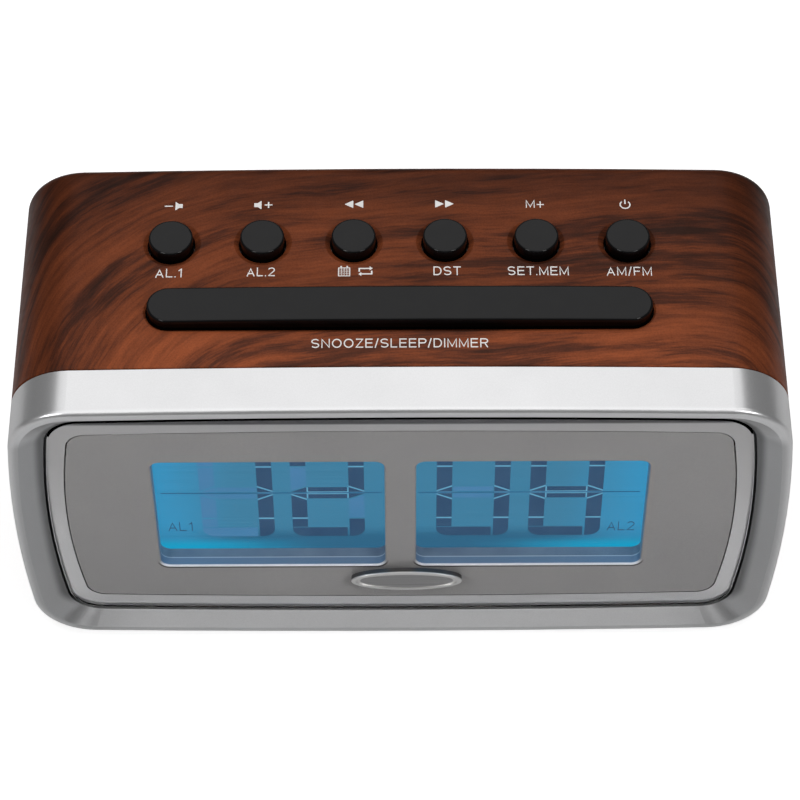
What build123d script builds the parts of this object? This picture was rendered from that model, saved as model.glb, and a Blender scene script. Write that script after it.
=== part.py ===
from build123d import *
import math
import os

# Tabletop clock radio: a wood-finished sleeve with a silver front frame, a clear lens over two
# display windows, a snooze bar and six round push buttons on top, and a rear cover with the
# loudspeaker slots and the power inlet. Millimetres, +Z up, the front faces -Y, and the origin
# is on the table under the middle of the radio.
#
# Places along the depth are given as distances behind the foremost plane of the front frame,
# and from_front() turns such a distance into Y.

# ---- driving dimensions: the body ----
width = 180.0
depth = 73.0
body_height = 90.7
foot_height = 1.5
corner_radius = 14.5
side_crown = 2.8
top_crown = 1.2
bottom_crown = 1.3
wall = 2.4
rear_edge_radius = 3.0
seam = 0.4
display_drop = 46.5

body_bottom = foot_height
body_top = foot_height + body_height
middle_z = body_top - display_drop
crown_reach = width / 2 - side_crown
top_radius = (crown_reach**2 + top_crown**2) / (2 * top_crown)

# ---- driving dimensions: the front frame, lens and display ----
bezel_depth = 12.4
bezel_edge_radius = 1.3
bezel_rim = 2.3
lip_inset = 7.4
lip_inset_z = 5.95
lens_drop = 1.15
lip_depth = 3.6
lens_gap = 0.6
lens_bevel = 0.25
groove_depth = 1.2
lens_thickness = 1.5
lens_corner = 8.5
lens_tape = 0.1
ledge_thickness = 2.6
mask_inset_x = 12.0
mask_inset_z = 11.85
mask_drop = 1.75
mask_corner = 4.5
mask_thickness = 2.6
mask_gap = 0.3
window_width = 53.8
window_height = 42.1
window_centre_x = 30.55
window_corner = 2.3
window_edge_radius = 0.4
window_frame_thickness = 2.6
spigot_inset = 2.55
spigot_wall = 1.75
spigot_reach = 6.0
badge_width = 26.6
badge_height = 7.6
badge_x = 1.4
badge_z = 20.9
badge_thickness = 1.5
ear_x = 80.2
ear_z = 12.0
ear_thickness = 2.0
board_screw_x = 67.2
board_screw_z = 26.5
board_half_width = 70.0

lens_front = lip_depth
lens_back = lens_front + lens_thickness
ledge_front = lens_back + lens_tape
ledge_back = ledge_front + ledge_thickness
mask_back = ledge_front + mask_thickness
lcd_front = mask_back + window_frame_thickness
glass_thickness = 1.1
lcd_back = lcd_front + 2 * glass_thickness
guide_front = lcd_back + 0.3
guide_back = guide_front + 4.0
chassis_floor = guide_back + 0.3
chassis_back = chassis_floor + 2.0
board_thickness = 1.6
main_board_back = chassis_back + board_thickness

# ---- driving dimensions: the controls on top ----
button_pitch = 21.1
button_row = 48.9
button_radius = 5.1
button_proud = 2.5
button_travel = 0.8
button_gap = 0.45
button_edge_radius = 0.5
snooze_row = 29.05
snooze_length = 115.0
snooze_width = 9.9
dish_width = 1.15
dish_depth = 0.7
flange_width = 1.2
flange_thickness = 1.0
flange_gap = 0.4
key_board_top = 77.7
switch_size = 6.2
switch_height = 3.5
plunger_radius = 1.75
plunger_gap = 0.05
plunger_proud = 1.5
plunger_depth = 1.3
button_names = ["volume_down", "volume_up", "tune_down", "tune_up", "memory", "power"]
button_x = [button_pitch * (index - 2.5) for index in range(len(button_names))]

# ---- driving dimensions: the rear, the fasteners and the battery door ----
cover_inset = 7.9
cover_step = 1.4
cover_thickness = 2.6
cover_gap = 0.3
post_x = 74.0
post_z = 29.0
post_radius = 3.4
door_half_width = 30.0
door_front = 42.0
door_gap = 0.2
door_plate = 1.25
rail_thickness = 1.0
rail_width = 2.5
door_notch_top = 7.2
foot_radius = 6.5
foot_x = 66.0
foot_rows = [22.0, 62.0]
foot_seat = 2.6
speaker_x = -36.0
speaker_half = 26.0
speaker_depth = 20.0
jack_x = 56.0
jack_z = 22.7
aerial_x = 66.0
aerial_z = 59.7
lead_radius = 0.55
small_shank = 0.78
small_pilot = 0.8
small_clearance = 1.1
small_head = 1.9
small_head_height = 1.3

cover_inner = depth - cover_thickness
speaker_face = cover_inner - 0.6
speaker_flange = 1.6
speaker_screw = 22.0
rear_wall_inner = depth - wall


# ---- helpers ----
def from_front(distance):
    """Y of a plane that lies this far behind the foremost plane."""
    return distance - depth / 2


def slab(profile, front, back):
    """Solid from a profile drawn in X and Z, between two distances behind the front."""
    plane = Plane(origin=(0, from_front(front), 0), x_dir=(1, 0, 0), z_dir=(0, -1, 0))
    return extrude(plane * profile, amount=back - front, dir=(0, 1, 0))


def prism(profile, low, high):
    """Solid from a profile drawn in X and Y, between two heights."""
    return extrude(Pos(0, 0, low) * profile, amount=high - low, dir=(0, 0, 1))


def block(x_range, depth_range, z_range):
    """Box between two values along each direction; the depths are from the front."""
    x_low, x_high = x_range
    z_low, z_high = z_range
    centre = Pos((x_low + x_high) / 2, (z_low + z_high) / 2)
    return slab(centre * Rectangle(x_high - x_low, z_high - z_low), *depth_range)


def rod_along_depth(radius, x, z, front, back):
    return slab(Pos(x, z) * Circle(radius), front, back)


def rod_upright(radius, x, distance, low, high):
    return prism(Pos(x, from_front(distance)) * Circle(radius), low, high)


def rod_along_x(radius, distance, z, left, right):
    plane = Plane(origin=(left, from_front(distance), z), x_dir=(0, 1, 0), z_dir=(1, 0, 0))
    return extrude(plane * Circle(radius), amount=right - left)


def crown_drop(x):
    """How far the crowned top lies below its middle at this X."""
    return top_radius - math.sqrt(top_radius**2 - x**2)


def outline(inset_x=0.0, inset_z=None, corner=None, lift=0.0):
    """The body's section in X and Z: four slightly bowed sides with round corners."""
    inset_z = inset_x if inset_z is None else inset_z
    corner = max(corner_radius - inset_x, 2.0) if corner is None else corner
    half_width = width / 2 - inset_x
    reach = half_width - side_crown
    top = body_top - inset_z + lift
    bottom = body_bottom + inset_z + lift
    upper = top - top_crown
    lower = bottom + bottom_crown
    centre = (top + bottom) / 2
    sides = [
        ThreePointArc((-reach, upper), (0, top), (reach, upper)),
        ThreePointArc((reach, upper), (half_width, centre), (reach, lower)),
        ThreePointArc((reach, lower), (0, bottom), (-reach, lower)),
        ThreePointArc((-reach, lower), (-half_width, centre), (-reach, upper)),
    ]
    face = make_face(sides)
    return fillet(face.vertices(), corner)


def lens_outline(inset=0.0):
    """The bezel's opening for the lens, or the lens itself when inset. It sits low in the body."""
    corner = lens_corner - inset
    return outline(lip_inset + inset, lip_inset_z + inset, corner, -lens_drop)


def mask_outline(grow=0.0):
    """The display mask's outline, or the bezel's opening round it when grown."""
    return outline(mask_inset_x - grow, mask_inset_z - grow, mask_corner + grow, -mask_drop)


def windows(grow=0.0):
    """The two display windows, side by side."""
    shape = RectangleRounded(window_width + 2 * grow, window_height + 2 * grow, window_corner + grow)
    return [Pos(side * window_centre_x, middle_z) * shape for side in (-1, 1)]


def snooze_shape(grow=0.0):
    """The snooze bar's outline from above, with fully round ends."""
    straight = snooze_length - snooze_width
    shape = SlotCenterToCenter(straight, snooze_width + 2 * grow)
    return Pos(0, from_front(snooze_row)) * shape


def corners(x, z):
    """Four places in X and Z, symmetric about the middle of the body."""
    return [(sx * x, middle_z + sz * z) for sx in (-1, 1) for sz in (-1, 1)]


def screw(x, z, head_radius, head_front, head_thickness, shank_radius, tip):
    """A screw driven from behind, with a cross recess in its head."""
    head = rod_along_depth(head_radius, x, z, head_front, head_front + head_thickness)
    head = fillet(head.edges().group_by(Axis.Y)[-1], head_thickness * 0.35)
    arm = head_radius * 0.62
    blade = head_radius * 0.14
    top = head_front + head_thickness
    recess = top - head_thickness * 0.6
    head -= block((x - arm, x + arm), (recess, top), (z - blade, z + blade))
    head -= block((x - blade, x + blade), (recess, top), (z - arm, z + arm))
    return head + rod_along_depth(shank_radius, x, z, tip, head_front)


def wire(points, radius):
    """A round lead along straight runs joined by tangent arcs, points as (x, distance, z)."""
    places = [(x, from_front(distance), z) for x, distance, z in points]
    runs = [math.dist(a, b) for a, b in zip(places, places[1:])]
    radii = []
    for index in range(1, len(places) - 1):
        before = Vector(*places[index]) - Vector(*places[index - 1])
        after = Vector(*places[index + 1]) - Vector(*places[index])
        turn = math.radians(before.get_angle(after))
        shorter = min(runs[index - 1], runs[index])
        radii.append(0.45 * shorter / math.tan(turn / 2))
    path = FilletPolyline(*places, radius=radii)
    section = Plane(origin=path @ 0, z_dir=path % 0) * Circle(radius)
    return sweep(section, path=path)


# ---- the case ----
def make_front_bezel():
    """Silver frame: rolled outer edge, a lip that slopes in to the lens, and a grooved ledge."""
    body = slab(outline(), 0, bezel_depth)
    body = fillet(body.edges().group_by(Axis.Y)[0], bezel_edge_radius)
    ledge_opening = mask_outline(mask_gap)
    mouth = Plane(origin=(0, from_front(0), 0), x_dir=(1, 0, 0), z_dir=(0, -1, 0))
    throat = Plane(origin=(0, from_front(lip_depth), 0), x_dir=(1, 0, 0), z_dir=(0, -1, 0))
    mouth_outline = outline(bezel_rim, corner=corner_radius - bezel_rim)
    throat_outline = lens_outline()
    body -= loft([mouth * mouth_outline, throat * throat_outline], ruled=True)
    body -= slab(throat_outline, lip_depth, ledge_front)
    body -= slab(ledge_opening, ledge_front, ledge_back)
    groove = slab(throat_outline, ledge_front, ledge_front + groove_depth)
    body -= groove - slab(lens_outline(lens_gap), ledge_front, ledge_front + groove_depth)
    inner = outline(spigot_inset + spigot_wall)
    body -= slab(inner, ledge_back, bezel_depth)
    spigot = slab(outline(spigot_inset), bezel_depth, bezel_depth + spigot_reach)
    body += spigot - slab(inner, bezel_depth, bezel_depth + spigot_reach)
    spigot_back = bezel_depth + spigot_reach
    spigot_x = width / 2 - spigot_inset - 1.0
    for x, z in corners(post_x, post_z):
        body += rod_along_depth(post_radius, x, z, ledge_back, cover_inner - 1.6)
        rib_x = sorted((x, math.copysign(spigot_x - 1.5, x)))
        body += block(rib_x, (ledge_back, spigot_back), (z - 0.9, z + 0.9))
    for x, z in corners(post_x, post_z):
        body -= rod_along_depth(1.3, x, z, 50.0, cover_inner)
    for x, z in corners(ear_x, ear_z):
        body -= rod_along_depth(small_pilot, x, z, ledge_front + 0.5, ledge_back)
    return body


def make_housing():
    """Wood-finished sleeve with a rear rim, button holes in shallow dishes, and the door rails."""
    front = bezel_depth + seam
    body = slab(outline(), front, depth)
    body = fillet(body.edges().group_by(Axis.Y)[-1], rear_edge_radius)
    body = fillet(body.edges().group_by(Axis.Y)[0], 0.35)
    body -= slab(outline(wall), front, rear_wall_inner)
    body -= slab(outline(cover_inset + 1.4), rear_wall_inner, depth)
    body -= slab(outline(cover_inset - cover_gap), depth - cover_step, depth)
    # holes and dishes for the round buttons
    hole_radius = button_radius + button_gap
    for x in button_x:
        surface = body_top - crown_drop(x)
        body -= rod_upright(hole_radius, x, button_row, surface - 8, surface + 4)
        rim = hole_radius + dish_width * (dish_depth + 1.0) / dish_depth
        dish = Cone(hole_radius, rim, dish_depth + 1.0, align=(Align.CENTER, Align.CENTER, Align.MIN))
        body -= Pos(x, from_front(button_row), surface - dish_depth) * dish
    # hole and dish for the snooze bar, both following the crown
    body -= prism(snooze_shape(button_gap), body_top - 8, body_top + 4)
    body -= snooze_dish()
    # bosses under the top wall for the key board
    for x, distance in key_board_screws():
        boss = rod_upright(2.6, x, distance, key_board_top, body_top)
        boss &= slab(outline(wall / 2), front, rear_wall_inner)
        body += boss
        body -= rod_upright(small_pilot, x, distance, key_board_top, key_board_top + 8)
    # the battery door's place: a rebate outside, an opening with rails inside, and the rear notch
    rail_low = body_bottom + wall - rail_thickness
    inner_half = door_half_width - rail_width
    body -= block((-door_half_width, door_half_width), (door_front, depth), (0, rail_low))
    body -= block((-inner_half, inner_half), (door_front + 2.5, depth), (0, body_bottom + wall + 0.5))
    body -= block((-door_half_width, door_half_width), (rear_wall_inner, depth), (0, door_notch_top))
    # seats for the feet
    for x, distance in foot_places():
        body -= rod_upright(foot_radius + 0.2, x, distance, 0, foot_seat)
    return body


def snooze_dish():
    """The shallow dish round the snooze bar's hole, a tapering slot cut into the crown."""
    low = Pos(0, 0, body_top - dish_depth - 0.45) * snooze_shape(button_gap - 0.35)
    high = Pos(0, 0, body_top + 1.0) * snooze_shape(button_gap + dish_width * 2.1)
    return loft([low, high], ruled=True)


def key_board_screws():
    return [(side * 64.0, distance) for side in (-1, 1) for distance in (29.5, 63.5)]


def foot_places():
    return [(side * foot_x, distance) for side in (-1, 1) for distance in foot_rows]


def make_feet():
    """Four rubber feet let into the underside."""
    feet = []
    for x, distance in foot_places():
        foot = rod_upright(foot_radius, x, distance, 0, foot_seat)
        feet.append(fillet(foot.edges().group_by(Axis.Z)[0], 0.5))
    return Compound(children=feet)


def make_rear_cover():
    """Flush rear plate with the loudspeaker slots, power inlet hole, aerial hole and screw seats."""
    body = slab(outline(cover_inset), depth - cover_step, depth)
    body += slab(outline(cover_inset + 1.4 + cover_gap), cover_inner, depth - cover_step)
    for x, z in corners(post_x, post_z):
        body += rod_along_depth(post_radius, x, z, cover_inner - 1.5, cover_inner)
        body -= rod_along_depth(1.6, x, z, cover_inner - 1.5, depth)
        body -= rod_along_depth(3.1, x, z, depth - 2.2, depth)
    for offset in speaker_corners():
        x, z = speaker_x + offset[0], middle_z + offset[1]
        body += rod_along_depth(2.4, x, z, speaker_face, cover_inner)
        body -= rod_along_depth(small_pilot, x, z, speaker_face, depth - 0.8)
    slot_radius = 21.5
    slot_step = 4.0
    for row in range(-5, 6):
        height = row * slot_step
        if abs(height) > slot_radius - 1:
            continue
        half_length = math.sqrt(slot_radius**2 - height**2)
        slot = Pos(speaker_x, middle_z + height) * SlotCenterToCenter(2 * half_length - 1.8, 1.8)
        body -= slab(slot, cover_inner, depth)
    body -= rod_along_depth(4.2, jack_x, jack_z, cover_inner, depth)
    body -= rod_along_depth(5.6, jack_x, jack_z, depth - 0.8, depth)
    body -= rod_along_depth(3.0, aerial_x, aerial_z, cover_inner, depth)
    return body


def speaker_corners():
    return [(sx * speaker_screw, sz * speaker_screw) for sx in (-1, 1) for sz in (-1, 1)]


def make_case_screws():
    """Four long screws that clamp cover, housing and front frame together."""
    screws = [screw(x, z, 2.8, depth - 2.2, 1.5, 1.28, 52.0) for x, z in corners(post_x, post_z)]
    return Compound(children=screws)


# ---- the display ----
def make_front_lens():
    """Clear lens over the whole front, its front edge bevelled."""
    body = slab(lens_outline(lens_gap), lens_front, lens_back)
    return chamfer(body.edges().group_by(Axis.Y)[0], lens_bevel)


def make_display_mask():
    """Silver-grey panel behind the lens and its mounting tape, with the two windows."""
    profile = mask_outline()
    for window in windows():
        profile -= window
    body = slab(profile, ledge_front, mask_back)
    rims = body.edges().group_by(Axis.Y)[0].filter_by(lambda edge: abs(edge.center().Z - middle_z) < 30)
    rims = rims.filter_by(lambda edge: abs(edge.center().X) < 60)
    return fillet(rims, window_edge_radius)


def make_window_frame():
    """Inner frame that makes the window wells deeper and holds the display glass off the mask."""
    profile = Pos(0, middle_z) * RectangleRounded(140, 61, 3)
    for window in windows(0.25):
        profile -= window
    return slab(profile, mask_back, lcd_front)


def make_badge():
    """Plain oval badge with a raised rim, stuck on the front of the lens."""
    place = Pos(badge_x, badge_z)
    front = lens_front - badge_thickness
    outer = slab(place * Ellipse(badge_width / 2, badge_height / 2), front, lens_front)
    outer = fillet(outer.edges().group_by(Axis.Y)[0], 0.3)
    field = Ellipse(badge_width / 2 - 1.1, badge_height / 2 - 0.9)
    return outer - slab(place * field, front, front + 0.3)


def make_display_chassis():
    """White tray that holds the display glass, light guide and backlight, with four ears."""
    low, high = middle_z - 30.5, middle_z + 30.5
    body = block((-board_half_width, board_half_width), (lcd_front, chassis_back), (low, high))
    body -= block((-64.5, 64.5), (lcd_front, chassis_floor), (middle_z - 28, middle_z + 28))
    body -= block((-55.4, 55.4), (chassis_floor, chassis_back), (middle_z + 24.8, middle_z + 27.4))
    ear_back = lcd_front + ear_thickness
    for x, z in corners(ear_x, ear_z):
        side = math.copysign(1, x)
        web = sorted((side * 69.0, side * 82.0))
        pad = sorted((side * 78.4, side * 82.0))
        body += block(web, (lcd_front, ear_back), (z - 5, z + 5))
        body += block(pad, (ledge_back, lcd_front), (z - 5, z + 5))
        body -= rod_along_depth(small_clearance, x, z, ledge_back, ear_back)
    for x, z in corners(board_screw_x, board_screw_z):
        body -= rod_along_depth(small_pilot, x, z, ear_back, chassis_back)
    return body


def small_screw(x, z, head_front, tip):
    return screw(x, z, small_head, head_front, small_head_height, small_shank, tip)


def make_small_screws():
    """The small screws: display ears, main board, key board and loudspeaker."""
    ear_back = lcd_front + ear_thickness
    screws = [small_screw(x, z, ear_back, ledge_front + 0.6) for x, z in corners(ear_x, ear_z)]
    board_places = corners(board_screw_x, board_screw_z)
    screws += [small_screw(x, z, main_board_back, lcd_front + 2.8) for x, z in board_places]
    board_low = key_board_top - board_thickness
    for x, distance in key_board_screws():
        head = rod_upright(small_head, x, distance, board_low - small_head_height, board_low)
        screws.append(head + rod_upright(small_shank, x, distance, board_low, key_board_top + 7))
    flange_front = speaker_face - speaker_flange
    for offset in speaker_corners():
        x, z = speaker_x + offset[0], middle_z + offset[1]
        head = rod_along_depth(small_head, x, z, flange_front - small_head_height, flange_front)
        screws.append(head + rod_along_depth(small_shank, x, z, flange_front, depth - 1.0))
    return Compound(children=screws)


def make_display_parts():
    """Display glass, films, light guide, backlight and contact strip."""
    half = 64.0
    low, high = middle_z - 27.5, middle_z + 27.5
    guide = block((-62, 62), (guide_front, guide_back), (middle_z - 25.0, middle_z + 24.2))
    strip_x = (-60, 60)
    strip = block(strip_x, (guide_front, guide_back), (middle_z - 27.8, middle_z - 26.6))
    leds = []
    for x in (-50, -30, -10, 10, 30, 50):
        lamp_range = (guide_front + 0.7, guide_back - 0.7)
        leds.append(block((x - 1.6, x + 1.6), lamp_range, (middle_z - 26.6, middle_z - 25.1)))
    film_z = (middle_z - 25.0, middle_z + 24.2)
    return {
        "lcd_front_glass": block((-half, half), (lcd_front, lcd_front + glass_thickness), (low, high)),
        "lcd_rear_glass": block((-half, half), (lcd_front + glass_thickness, lcd_back), (low, high - 3)),
        "diffuser_film": block((-62, 62), (lcd_back, guide_front), film_z),
        "light_guide": guide,
        "reflector_film": block((-62, 62), (guide_back, chassis_floor), film_z),
        "backlight_strip": strip,
        "backlight_leds": Compound(children=leds),
        "contact_strip": block(
            (-55, 55),
            (lcd_front + glass_thickness, chassis_back),
            (middle_z + 25.0, middle_z + 27.2),
        ),
    }


# ---- the boards ----
def make_main_board():
    wide = (-board_half_width, board_half_width)
    body = block(wide, (chassis_back, main_board_back), (middle_z - 30, middle_z + 30))
    for x, z in corners(board_screw_x, board_screw_z):
        body -= rod_along_depth(small_clearance, x, z, chassis_back, main_board_back)
    return body


def make_board_parts():
    """Chips and capacitors on the back of the main board."""
    back = main_board_back

    def chip(x, z, wide, tall, thick):
        return block((x - wide / 2, x + wide / 2), (back, back + thick), (z - tall / 2, z + tall / 2))

    cans = [(-50, 20, 4.0, 11), (-39, 20, 4.0, 11), (-28, 20, 3.1, 8), (10, -20, 2.5, 7), (18, -20, 2.5, 7)]
    capacitors = []
    for x, height, radius, length in cans:
        can = rod_along_depth(radius, x, middle_z + height, back, back + length)
        capacitors.append(fillet(can.edges().group_by(Axis.Y)[-1], 0.4))
    return {
        "clock_chip": chip(0, middle_z + 6, 14, 14, 1.8),
        "tuner_chip": chip(38, middle_z + 12, 10, 8, 1.6),
        "amplifier_chip": chip(-44, middle_z - 12, 12, 8, 2.2),
        "capacitors": Compound(children=capacitors),
    }


def switch_places():
    """Switch positions as (name, x, distance): one under each button and the snooze bar."""
    places = [(name, x, button_row) for name, x in zip(button_names, button_x)]
    places.append(("snooze", 0.0, snooze_row))
    return places


def make_key_board():
    """Board under the top wall that carries the seven push switches."""
    low = key_board_top - board_thickness
    body = block((-67.5, 67.5), (23.0, 67.0), (low, key_board_top))
    for x, distance in key_board_screws():
        body -= rod_upright(small_clearance, x, distance, low, key_board_top)
    for x in snooze_guides():
        body -= rod_upright(1.57, x, snooze_row, low, key_board_top)
    return body


def snooze_guides():
    return [-42.0, 42.0]


def make_switch_bodies():
    """Square switch housings with a round well for the plunger."""
    bodies = []
    half = switch_size / 2
    top = key_board_top + switch_height
    for _, x, distance in switch_places():
        body = block((x - half, x + half), (distance - half, distance + half), (key_board_top, top))
        well_depth = plunger_depth + button_travel + 0.1
        body -= rod_upright(plunger_radius + plunger_gap, x, distance, top - well_depth, top)
        bodies.append(body)
    return Compound(children=bodies)


def make_plunger(x, distance):
    top = key_board_top + switch_height
    return rod_upright(plunger_radius, x, distance, top - plunger_depth, top + plunger_proud)


def make_button(x):
    """Round cap with a retaining flange under the wall and a stem down to its switch."""
    surface = body_top - crown_drop(x)
    top = surface + button_proud
    flange_top = surface - wall - flange_gap
    flange_low = flange_top - flange_thickness
    body = rod_upright(button_radius, x, button_row, flange_low, top)
    body = fillet(body.edges().group_by(Axis.Z)[-1], button_edge_radius)
    body += rod_upright(button_radius + flange_width, x, button_row, flange_low, flange_top)
    body -= rod_upright(button_radius - 1.2, x, button_row, flange_low, top - 1.4)
    plunger_top = key_board_top + switch_height + plunger_proud
    return body + rod_upright(1.6, x, button_row, plunger_top, top - 1.0)


def make_snooze_bar():
    """Long bar whose top follows the crown, with a flange, a central stem and two guide pins."""
    front, back = snooze_row - 12, snooze_row + 12
    top_shape = slab(outline(lift=button_proud), front, back)
    flange_top = slab(outline(lift=-wall - flange_gap), front, back)
    below_flange = slab(outline(lift=-wall - flange_gap - flange_thickness), front, back)
    body = prism(snooze_shape(), body_top - 8, body_top + 6) & top_shape
    body = fillet(body.faces().sort_by(Axis.Z)[-1].edges(), button_edge_radius)
    flange = prism(snooze_shape(flange_width), body_top - 8, body_top) & flange_top
    body = body + flange
    body -= below_flange
    hollow = prism(snooze_shape(-1.3), body_top - 8, body_top + 0.6)
    body -= hollow
    plunger_top = key_board_top + switch_height + plunger_proud
    body += rod_upright(1.8, 0, snooze_row, plunger_top, body_top + 1.0)
    for x in snooze_guides():
        body += rod_upright(1.5, x, snooze_row, key_board_top - 3.5, body_top + 0.8)
    return body


# ---- the loudspeaker ----
def make_speaker():
    """Small full-range loudspeaker facing the rear: frame, magnet, cone, dust cap and gasket."""
    x, z = speaker_x, middle_z
    face = speaker_face
    flange_front = face - speaker_flange
    magnet_front = face - speaker_depth
    magnet_back = magnet_front + 6.5
    profile = Pos(x, z) * RectangleRounded(2 * speaker_half, 2 * speaker_half, 6)
    frame = slab(profile, flange_front, face) - rod_along_depth(21.5, x, z, flange_front, face)
    for offset in speaker_corners():
        frame -= rod_along_depth(small_clearance, x + offset[0], z + offset[1], flange_front, face)
    frame += rod_along_depth(15.5, x, z, magnet_back, magnet_back + 1.2)
    basket = basket_cone(x, z, magnet_back, flange_front + 0.2)
    frame += basket
    frame -= rod_along_depth(7.0, x, z, magnet_back, magnet_back + 1.2)
    magnet = rod_along_depth(15.0, x, z, magnet_front, magnet_back)
    magnet = fillet(magnet.edges(), 0.6)
    magnet += rod_along_depth(5.5, x, z, magnet_back, magnet_back + 3.5)
    cone_back = face - 0.4
    cone_front = magnet_back + 5.0
    cone = y_cone(x, z, 8.0, 20.6, cone_front, cone_back) - y_cone(x, z, 7.4, 20.0, cone_front, cone_back)
    cone += rod_along_depth(21.3, x, z, cone_back - 0.3, cone_back) - rod_along_depth(
        20.1, x, z, cone_back - 0.3, cone_back
    )
    cap = rod_along_depth(9.5, x, z, cone_front + 2.6, cone_front + 3.4)
    cap = cap & y_cone(x, z, 7.3, 19.9, cone_front, cone_back)
    ring = rod_along_depth(25.0, x, z, face, cover_inner) - rod_along_depth(21.6, x, z, face, cover_inner)
    return {
        "speaker_frame": frame,
        "speaker_magnet": magnet,
        "speaker_cone": cone,
        "speaker_dust_cap": cap,
        "speaker_gasket": ring,
    }


def y_cone(x, z, front_radius, back_radius, front, back):
    """Solid cone frustum about an axis along the depth."""
    shape = Cone(front_radius, back_radius, back - front, align=(Align.CENTER, Align.CENTER, Align.MIN))
    return Pos(x, from_front(front), z) * Rot(-90, 0, 0) * shape


def basket_cone(x, z, front, back):
    """The frame's open basket: a thin cone with six windows."""
    shell = y_cone(x, z, 15.5, 24.0, front, back) - y_cone(x, z, 14.3, 22.8, front, back)
    for index in range(6):
        turn = Rot(0, index * 60, 0)
        cutter = Pos(20, 0, 0) * Box(24, back - front - 3.2, 11)
        shell -= Pos(x, from_front((front + back) / 2), z) * turn * cutter
    return shell


# ---- power, aerial and batteries ----
def make_power_parts():
    """Small board with the low-voltage inlet, its centre pin, and the aerial wire's grommet."""
    board_top = jack_z - 5.5
    board = block((42, 70), (40, cover_inner - 0.4), (board_top - board_thickness, board_top))
    jack = block((jack_x - 4.8, jack_x + 4.8), (58.5, cover_inner - 0.1), (board_top, jack_z + 5.5))
    jack += rod_along_depth(4.0, jack_x, jack_z, cover_inner - 0.1, depth - 0.9)
    jack -= rod_along_depth(2.85, jack_x, jack_z, 61.5, depth)
    pin = rod_along_depth(1.0, jack_x, jack_z, 61.5, depth - 2.0)
    pin = fillet(pin.edges().group_by(Axis.Y)[-1], 0.4)
    grommet = rod_along_depth(2.95, aerial_x, aerial_z, cover_inner, depth - 0.05)
    grommet += rod_along_depth(4.2, aerial_x, aerial_z, cover_inner - 1.4, cover_inner)
    grommet -= rod_along_depth(1.0, aerial_x, aerial_z, cover_inner - 1.4, depth)
    return {"power_board": board, "dc_jack": jack, "dc_jack_pin": pin, "aerial_grommet": grommet}


def make_ferrite_aerial():
    """Ferrite rod with its coil, carried by two clips behind the rear cover."""
    distance, z = 59.0, 69.7
    left, right = 0.0, 62.0
    clips = []
    for x in (left + 5.0, right - 5.0):
        clip = block((x - 2, x + 2), (distance - 5.4, cover_inner), (z - 5.4, z + 5.0))
        clips.append(clip - rod_along_x(4.05, distance, z, x - 2, x + 2))
    coil = rod_along_x(5.4, distance, z, 18, 42) - rod_along_x(4.05, distance, z, 18, 42)
    return {
        "ferrite_rod": rod_along_x(4.0, distance, z, left, right),
        "aerial_coil": coil,
        "ferrite_clips": Compound(children=clips),
    }


def make_battery_parts():
    """Backup battery box, its two cells and the end contacts."""
    low, roof = 5.2, 18.0
    box = block((-28.5, 28.5), (44.0, 69.6), (low, roof))
    box -= block((-26.9, 26.9), (45.4, 68.2), (low, roof - 1.4))
    cells, contacts = [], []
    for row, direction in ((51.1, 1), (62.5, -1)):
        cell = rod_along_x(5.2, row, low + 6.0, -22.25, 21.45)
        cell += rod_along_x(1.9, row, low + 6.0, 21.45, 22.25)
        turned = cell if direction > 0 else mirror(cell, about=Plane.YZ)
        cells.append(turned)
        plate_x = sorted((direction * 22.25, direction * 22.7))
        contacts.append(block(plate_x, (row - 4, row + 4), (low + 1.5, low + 10.5)))
        contacts.append(contact_spring(row, low + 6.0, -direction))
    return {
        "battery_box": box,
        "backup_cells": Compound(children=cells),
        "battery_contacts": Compound(children=contacts),
    }


def contact_spring(row, z, side):
    """Conical end contact, drawn as its stack of four turns on a backing plate."""
    start = side * 22.25
    shape = rod_along_x(0.9, row, z, *sorted((start, start + side * 4.4)))
    for index in range(4):
        x = start + side * (0.3 + index * 1.1)
        shape += rod_along_x(1.6 + index * 0.6, row, z, *sorted((x, x + side * 0.6)))
    return shape


def make_battery_door():
    """Sliding door under the body with an upturned rear end and four hooks over the rails."""
    half = door_half_width - door_gap
    inner_half = door_half_width - rail_width - door_gap
    plate_top = body_bottom + door_plate
    rail_top = body_bottom + wall
    plate = block((-half, half), (door_front + door_gap, depth), (0, plate_top))
    shape = slab(outline(), bezel_depth, depth)
    shape = fillet(shape.edges().group_by(Axis.Y)[-1], rear_edge_radius)
    end = block((-half, half), (depth - 2.2, depth), (0, door_notch_top - door_gap))
    body = (plate + end) & shape
    for x in (-1, 1):
        for distance in (48.0, 62.0):
            riser = sorted((x * (inner_half - 1.2), x * inner_half))
            lip = sorted((x * (inner_half - 1.2), x * (inner_half + 1.6)))
            body += block(riser, (distance, distance + 6), (plate_top, rail_top + 0.8))
            body += block(lip, (distance, distance + 6), (rail_top + 0.45, rail_top + 1.15))
    for index in range(4):
        groove = 65.0 - index * 2.2
        body -= block((-9, 9), (groove, groove + 1.0), (0, body_bottom + 0.5))
    return body


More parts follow.
